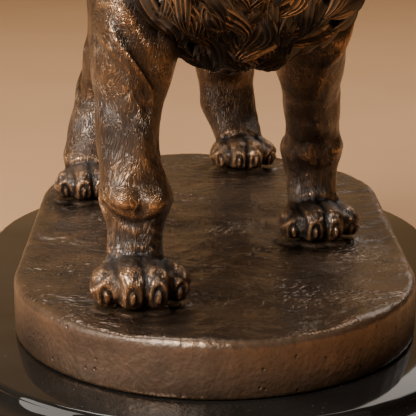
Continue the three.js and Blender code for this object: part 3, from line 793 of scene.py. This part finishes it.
bodyForms = [  # the torso, the shoulders and the head, as centre and radii of each end
    ((0, -58, 122), (36, 38, 42), (0, -20, 122), (34, 34, 38)),
    ((0, -20, 122), (34, 34, 38), (0, 20, 124), (30, 34, 33)),
    ((0, 20, 124), (30, 34, 33), (0, 58, 128), (28, 32, 31)),
    ((0, -62, 150), (15, 20, 15), (0, 70, 148), (12, 22, 11)),
    ((-27, -66, 126), (19, 27, 34), (-36, -76, 98), (16, 21, 18)),
    ((-36, -76, 98), (16, 21, 18), (-39, -80, 79), (14, 16.5, 14)),
    ((24, -62, 126), (18, 28, 34), (32, -54, 98), (15, 21, 18)),
    ((32, -54, 98), (15, 21, 18), (34.6, -43, 76), (13, 16, 14)),
    ((0, -60, 138), (33, 34, 34), (0, -98, 158), (27, 27, 30)),
    ((0, -116, 168), (20, 23, 19), None, None),
    ((0, -130, 161), (16, 13, 14.5), (0, -146, 157), (12.5, 10, 11.5)),
    ((-13, -124, 157), (10, 12, 12), None, None),
    ((13, -124, 157), (10, 12, 12), None, None),
]


def drawInUnderMane(p):
    # Where only the mane's locks stood, the skin goes in, and the finer locks lie on it.
    mane = maneDistance(p)
    body = np.min([limbDistance(p, *form) for form in bodyForms], axis=0)
    ears = np.hypot(np.abs(p[:, 0]) - 19, p[:, 2] - 187)
    ears = ramp(ears, 9, 12) + ramp(p[:, 1], -96, -92)
    share = ramp(body, 0.2, 2.2) * ramp(9 - mane, 0, 1) * np.clip(ears, 0, 1) * ramp(p[:, 2], 60, 66)
    depth = share * np.clip(mane + lionSkin["underMane"], 0, 9)
    return p - maneNormal(p) * depth[:, None], share


def makeLion():
    settings = lionSkin
    piece = copyOfNode("bronze_lion", "lionBody")
    applyModifier(piece, "SUBSURF", levels=1)
    evenOut(piece, settings)
    p = toFigure(vertexPlaces(piece))
    group = piece.vertex_groups.new(name="soft")
    inPaws = 1 - ramp(p[:, 2], 17, 26)
    inFace = ramp(-p[:, 1], 112, 124) * ramp(p[:, 2], 135, 142)
    soft = np.clip(1 - 0.7 * np.maximum(inPaws, inFace), 0, 1)
    for weight in (0.3, 0.5, 0.7, 0.85, 1.0):
        chosen = np.nonzero(np.abs(soft - weight) <= 0.1)[0]
        group.add(chosen.tolist(), weight, "REPLACE")
    rounds = settings["smoothRounds"]
    applyModifier(piece, "SMOOTH", factor=0.5, iterations=rounds, vertex_group="soft")
    p, covered = drawInUnderMane(toFigure(vertexPlaces(piece)))
    placeVertices(piece, toWorld(p))
    own = turned(vertexNormals(piece), -figure["turn"])
    depth = np.zeros(len(p))
    for x, toe, width in stance.values():
        depth += pawRelief(p, own, x, toe, width)
    depth += legRelief(p, own) + faceRelief(p, own)
    depth += settings["grain"] * layeredNoise(p / 7.0, 2, 11) * ramp(p[:, 2], 2, 8) * (1 - covered)
    p = p + own * depth[:, None]
    placeVertices(piece, toWorld(p))
    # The legs, paws and face keep their finest detail; the rest gives way first.
    spare = piece.vertex_groups.new(name="spare")
    plain = np.clip(np.maximum(covered, ramp(p[:, 2], 96, 112) * (1 - inFace)), 0, 1)
    spare.add(np.nonzero(plain >= 0.5)[0].tolist(), 1.0, "REPLACE")
    kept = float((plain < 0.5).mean())
    decimate(piece, kept + (1 - kept) * settings["spareKept"], vertex_group="spare", vertex_group_factor=1.0)
    count = len(piece.data.polygons)
    if count > settings["triangles"]:
        decimate(piece, settings["triangles"] / count)
    addAttribute(piece, "relief", measureRelief(piece, *settings["relief"]))
    p = toFigure(vertexPlaces(piece))
    addAttribute(piece, "lying", ramp(p[:, 2], 82, 108))
    addAttribute(piece, "bare", ramp(-p[:, 1], 148, 154) * ramp(p[:, 2], 140, 146))
    # Mask of the painted highlight along the bottom edge of the paws.
    addAttribute(piece, "sole", ramp(1.1 - p[:, 2], 0, 0.5))
    # Mask of the painted shade near and under the mane.
    addAttribute(piece, "maneShade", ramp(-maneDistance(p), -9, 0.5) * ramp(p[:, 2], 60, 66))
    piece.data.materials.append(furBronzeMaterial())
    shadeSmooth(piece)
    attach(piece, "root")
    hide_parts("bronze_lion")
    print("lion's body ready:", len(piece.data.polygons), "faces")


# The mane: the same full volume and way of the hair as in the solid, with finer locks

maneVolume = [  # centre and radii of each end of a rounded form
    ((0, -106, 166), (33, 16, 33), None, None),
    ((0, -98, 178), (25, 18, 18), None, None),
    ((0, -90, 152), (37, 24, 42), (0, -54, 142), (40, 32, 40)),
    ((0, -82, 130), (40, 26, 36), None, None),
    ((2, -66, 111), (38, 30, 33), None, None),
    ((-23, -82, 114), (21, 20, 24), None, None),
    ((23, -82, 114), (21, 20, 24), None, None),
]

mane = {
    "heart": (0, -80, 136),
    "locks": 380,
    "points": 15,
    "length": (19, 38),
    "halfWidth": (4.3, 6.6),
    "strands": 5,
    "rootLift": (-5.0, -2.4),
    "tipLift": (-0.8, 3.6),
    "sway": 1.5,
    "grooveDepth": (0.26, 0.55),
    "slide": 0.07,
    "tone": (0.6, 1.1),
    "ease": 1.9,
}


def limbDistance(p, a, ra, b, rb):
    a, ra = np.array(a, float), np.array(ra, float)
    b = a if b is None else np.array(b, float)
    rb = ra if rb is None else np.array(rb, float)
    axis = b - a
    t = np.clip((p - a) @ axis / max(axis @ axis, 1e-9), 0, 1)[:, None]
    radii = ra + (rb - ra) * t
    q = (p - a - axis * t) / radii
    k0 = np.sqrt((q**2).sum(1))
    k1 = np.sqrt(((q / radii) ** 2).sum(1)) + 1e-9
    return k0 * (k0 - 1) / k1


def maneDistance(p):
    value = np.full(len(p), 48.0)
    for form in maneVolume:
        d = limbDistance(p, *form)
        h = np.maximum(9 - np.abs(value - d), 0) / 9
        value = np.minimum(value, d) - h * h * 9 / 4
    return value


def maneNormal(p):
    slope = np.stack([
        maneDistance(p + step) - maneDistance(p - step) for step in np.eye(3) * 0.5
    ], axis=1)
    return unit(slope)


def unit(v):
    return v / np.maximum(np.linalg.norm(v, axis=-1, keepdims=True), 1e-9)


def hairWay(p):  # out from the face, then back and down, and inwards on the chest
    x, y, z = p.T
    byFace = ramp(-y, 96, 118)[:, None]
    high = ramp(z, 105, 160)
    atBack = ramp(y, -95, -50)
    outward = unit(np.stack([x, np.zeros_like(x), (z - 160) * 0.5], 1)) + np.array([0, 0.8, 0])
    inwards = -0.95 * (x / 40) * (1 - high)
    backwards = 0.25 + 0.75 * high * (0.4 + 0.6 * atBack)
    hanging = np.stack([inwards, backwards, -np.ones_like(x)], 1)
    return outward * byFace + hanging * (1.15 - byFace)


def maneSpines():
    # Seeds spread evenly round the mane's heart and drawn in to its skin; each lock follows the hair.
    chance = np.random.default_rng(7)
    n = mane["locks"]
    k = np.arange(n)
    height = 1 - 2 * (k + 0.5) / n
    around = k * math.pi * (3 - math.sqrt(5))
    rim = np.sqrt(1 - height**2)
    out = np.stack([np.cos(around) * rim, np.sin(around) * rim, height], 1)
    p = np.array(mane["heart"]) + out * 75
    for _ in range(60):
        p = p - out * np.maximum(maneDistance(p), 0)[:, None] * 0.6
    onFace = (p[:, 1] < -114) & (np.hypot(p[:, 0], p[:, 2] - 160) < 23)
    p = p[~onFace & (p[:, 1] < -30)]
    n = len(p)
    length = chance.uniform(*mane["length"], n)
    sway = chance.uniform(-mane["sway"], mane["sway"], n)
    turn = chance.uniform(0, 6.28, n)
    root = chance.uniform(*mane["rootLift"], n)
    tip = chance.uniform(*mane["tipLift"], n)
    spines, normals = [], []
    points = mane["points"]
    for i in range(points):
        t = i / (points - 1)
        normal = maneNormal(p)
        lift = root + (tip - root) * math.sin(t * math.pi / 2) ** 1.2
        p = p + normal * (lift - maneDistance(p))[:, None]
        spines.append(p)
        normals.append(normal)
        way = hairWay(p)
        way = unit(way - normal * (way * normal).sum(1, keepdims=True))
        side = np.cross(way, normal)
        way = unit(way + side * (sway * np.cos(t * 4.2 + turn))[:, None])
        p = p + way * (length / (points - 1))[:, None]
    return np.stack(spines, 1), np.stack(normals, 1), chance


def makeMane():
    spines, normals, chance = maneSpines()
    count, points = spines.shape[:2]
    t = np.linspace(0, 1, points)
    taper = (0.5 + 1.9 * t * (1 - t)) * (1 - t**3.4) ** 0.75
    halfWidth = np.maximum(chance.uniform(*mane["halfWidth"], count)[:, None] * taper, 0.1)
    tangent = unit(np.gradient(spines, axis=1))
    side = unit(np.cross(tangent, normals))
    up = unit(np.cross(side, tangent))
    # Across the top every second point is a strand's crest and the others are the grooves between.
    steps = mane["strands"] * 2 + 1
    top = np.linspace(-1, 1, steps)
    across = np.concatenate([top, [0.6, 0, -0.6]])
    around = len(across)
    crest = np.zeros(around)
    crest[1:steps:2] = 1
    dome = np.concatenate([1.1 * (1 - np.abs(top) ** 2.6) - 0.15, [-0.4, -0.5, -0.4]])
    onTop = np.arange(around) < steps
    grooves = chance.uniform(*mane["grooveDepth"], (count, 1, around)) * (onTop & (crest == 0))
    grooves[:, :, [0, steps - 1]] = 0
    rise = dome - grooves * ramp(t, 0.0, 0.12)[None, :, None]
    across = across + chance.uniform(-mane["slide"], mane["slide"], (count, 1, around)) * onTop
    ring = (
        spines[:, :, None, :]
        + side[:, :, None, :] * (across * halfWidth[..., None])[..., None]
        + up[:, :, None, :] * (rise * halfWidth[..., None])[..., None]
    )
    verts = toWorld(ring.reshape(-1, 3))
    # The topmost locks are eased down so that they stay inside the solids' box.
    ease = mane["ease"] * millimetre
    over = np.maximum(verts[:, 2] - (cadHigh[2] - 2 * millimetre), 0)
    verts[:, 2] -= over - ease * (1 - np.exp(-over / ease))
    # Rubbed crests and dark grooves; darker still towards the root, a painted shade where each lock lies in
    # under the others.
    relief = np.where(onTop, 0.12 + 0.72 * crest, 0.02)
    relief[[0, steps - 1]] = 0.05
    lit = 0.3 + 0.7 * ramp(t, 0.0, 0.45)[:, None]
    relief = relief * chance.uniform(*mane["tone"], (count, 1, 1)) * lit
    relief = relief + 0.16 * ramp(t, 0.5, 1)[:, None] * crest
    strand = across * mane["strands"] * 0.5 + chance.uniform(0, 9, (count, 1, 1))
    strand = np.broadcast_to(strand, relief.shape)
    index = np.arange(relief.size).reshape(relief.shape)
    a, b = index[:, :-1], index[:, 1:]
    quads = np.stack([a, np.roll(a, -1, 2), np.roll(b, -1, 2), b], -1).reshape(-1, 4)
    mesh = bpy.data.meshes.new("maneLocks")
    ends = index[:, 0, ::-1].tolist() + index[:, -1].tolist()
    mesh.from_pydata(verts.tolist(), [], quads.tolist() + ends)
    piece = bpy.data.objects.new("maneLocks", mesh)
    bpy.context.scene.collection.objects.link(piece)
    work = bmesh.new()
    work.from_mesh(mesh)
    bmesh.ops.recalc_face_normals(work, faces=work.faces)
    work.to_mesh(mesh)
    work.free()
    addAttribute(piece, "relief", relief.ravel())
    addAttribute(piece, "strand", strand.ravel())
    piece.data.materials.append(maneBronzeMaterial())
    shadeSmooth(piece)
    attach(piece, "root")
    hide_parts("bronze_lion")
    print("mane ready:", count, "locks,", len(mesh.polygons), "faces")


# The oval ground

groundSkin = {
    "voxel": 0.85,
    "quickVoxel": 2.0,
    "smoothRounds": 6,
    "swell": 0.95,
    "dint": 0.38,
    "stroke": 0.26,
    "side": 0.12,
    "pressed": 0.9,
    "triangles": 180000,
    "relief": (2.6, 1.2),
}


def soleDistance(p):  # millimetres from the nearest sole's outline
    nearest = np.full(len(p), 99.0)
    for x, toe, width in stance.values():
        u, v = (p[:, 0] - x) / width, (p[:, 1] - toe) / width
        pads = [(middle, back + 0.2, half * 0.95, 0.2) for middle, back, half, _ in toes]
        for midX, midY, halfX, halfY in [(0, 0.73, 0.33, 0.4), *pads]:
            away = np.hypot((u - midX) / halfX, (v - midY) / halfY) - 1
            nearest = np.minimum(nearest, away * min(halfX, halfY) * width)
    return nearest


def makeGround():
    settings = groundSkin
    piece = copyOfNode("bronze_ground", "ovalGround")
    evenOut(piece, settings)
    applyModifier(piece, "SMOOTH", factor=0.5, iterations=settings["smoothRounds"])
    places = vertexPlaces(piece)
    normals = vertexNormals(piece)
    w = places / millimetre
    top = ramp(normals[:, 2], 0.6, 0.9) * ramp(w[:, 2], 45, 50)
    side = ramp(np.hypot(normals[:, 0], normals[:, 1]), 0.6, 0.95)
    warp = np.stack([layeredNoise(w / 30, 2, s) for s in (3, 5, 9)], 1) * 6
    swell = latticeNoise((w + warp) / 17, 21) + 0.4 * latticeNoise((w + warp) / 9, 22)
    dints = layeredNoise((w + warp * 0.5) / np.array([9, 5.5, 8]), 3, 33)
    slant = np.stack([w[:, 0] * 0.5 + w[:, 1] * 0.87, w[:, 0] * 0.87 - w[:, 1] * 0.5, w[:, 2]], 1)
    strokes = latticeNoise((slant + warp * 0.3) / np.array([1.7, 9, 20]), 35)
    brushed = ramp(latticeNoise(w / 32, 37), -0.1, 0.35)
    inner = repeat(averageOfNeighbours(piece), top, 14) ** 3
    lively = 0.45 + 0.75 * ramp(latticeNoise(w / 27, 39), -0.3, 0.4)
    relief = settings["swell"] * swell + settings["dint"] * dints * lively
    relief += settings["stroke"] * strokes * brushed
    depth = relief * top * (0.15 + 0.85 * inner)
    depth += side * settings["side"] * layeredNoise(w / 16, 2, 41) * ramp(w[:, 2], 32.5, 36)
    # Around each paw the earth is pressed up to the sole.
    away = soleDistance(toFigure(places))
    lift = 1 - ramp(away, -0.6, 2.2)
    placed = places + normals * (depth * (1 - lift))[:, None] * millimetre
    placed[:, 2] += top * (1 - ramp(away, -1.1, 0.5)) * settings["pressed"] * millimetre
    placed[:, 2] = np.maximum(placed[:, 2], figure["plinthTop"] * millimetre)
    placeVertices(piece, placed)
    count = len(piece.data.polygons) * 2
    if count > settings["triangles"]:
        decimate(piece, settings["triangles"] / count)
    values = measureRelief(piece, *settings["relief"])
    # Wear shows as a thin line on the rim and not over the whole rounded edge.
    places = vertexPlaces(piece)
    normals = vertexNormals(piece)
    w = places / millimetre
    edge = bell(normals[:, 2] - 0.55, 0.42) * ramp(w[:, 2], 48, 49.5)
    line = bell(normals[:, 2] - 0.62, 0.16) * ramp(w[:, 2], 48, 49.5)
    values = values * (1 - edge) + edge * (0.46 + 0.34 * line + 0.12 * layeredNoise(w / 9, 2, 51))
    addAttribute(piece, "relief", np.clip(values, 0, 1))
    away = soleDistance(toFigure(places))
    # Near the paws and in scattered patches the top is made darker and glossier.
    patches = ramp(latticeNoise(w / 17, 61), 0.1, 0.6)
    darkGloss = (1 - ramp(away, 2, 11)) * (0.75 + 0.5 * latticeNoise(w / 8, 62)) + 0.5 * patches
    upper = ramp(normals[:, 2], 0.8, 0.97)
    addAttribute(piece, "darkGloss", np.clip(darkGloss, 0, 1) * upper)
    addAttribute(piece, "upper", upper)
    addAttribute(piece, "etched", ramp(latticeNoise(w / 21, 63), -0.05, 0.3) * upper)
    piece.data.materials.append(groundBronzeMaterial())
    shadeSmooth(piece)
    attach(piece, "root")
    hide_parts("bronze_ground")
    print("ground ready:", len(piece.data.polygons), "faces")


def makePlinth():
    piece = copyOfNode("marble_plinth", "marblePlinth")
    selectOnly(piece)
    bpy.ops.object.shade_smooth_by_angle(angle=math.radians(28))
    piece.data.materials.append(blackMarbleMaterial())
    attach(piece, "root")
    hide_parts("marble_plinth")
    print("plinth ready")


makeCamera()
makeStudio()
makePlinth()
makeGround()
makeLion()
makeMane()
